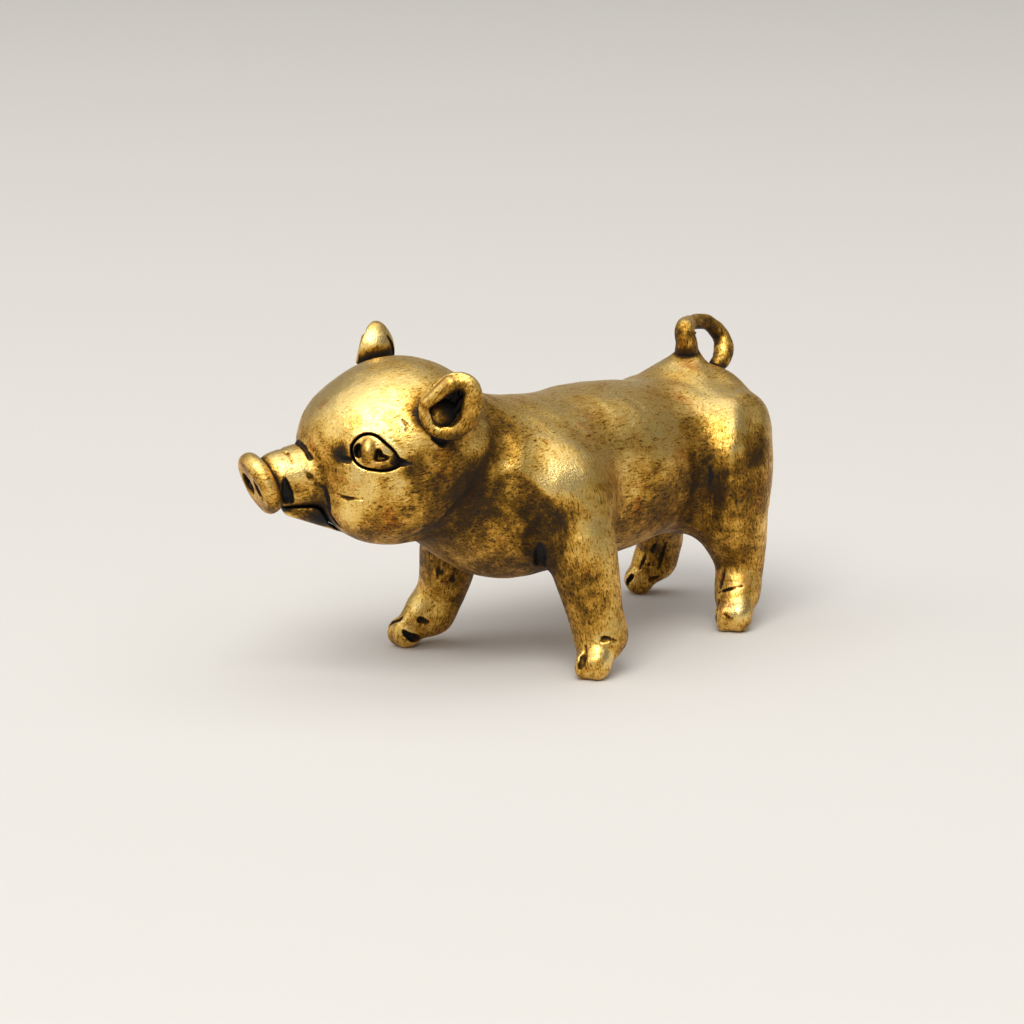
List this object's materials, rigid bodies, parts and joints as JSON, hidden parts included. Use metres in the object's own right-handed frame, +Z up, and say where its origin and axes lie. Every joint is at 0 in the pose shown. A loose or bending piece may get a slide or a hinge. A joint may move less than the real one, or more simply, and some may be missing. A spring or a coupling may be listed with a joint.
{
  "type": "pig figurine",
  "caption": "Small solid brass pig standing on splayed cloven hooves, head turned to its right, with cupped ears, a thick snout disc and an open curled tail, as a shelf ornament.",
  "frame": {"origin": "on the floor under the hooves, at the middle of the bounding box", "axes": "+X along the body from head to tail, +Y to the pig's right, +Z up"},
  "size_m": [0.0428, 0.0182, 0.0234],
  "materials": {
    "brass": "satin cast and brushed, with dark patina in the hollows"
  },
  "bodies": {
    "root": {"torso": "brass", "head": "brass", "snout_disc": "brass", "lower_jaw": "brass", "left_ear": "brass", "right_ear": "brass", "left_eye": "brass", "right_eye": "brass", "left_foreleg": "brass", "right_foreleg": "brass", "left_hindleg": "brass", "right_hindleg": "brass", "tail": "brass"}
  },
  "joints": []
}
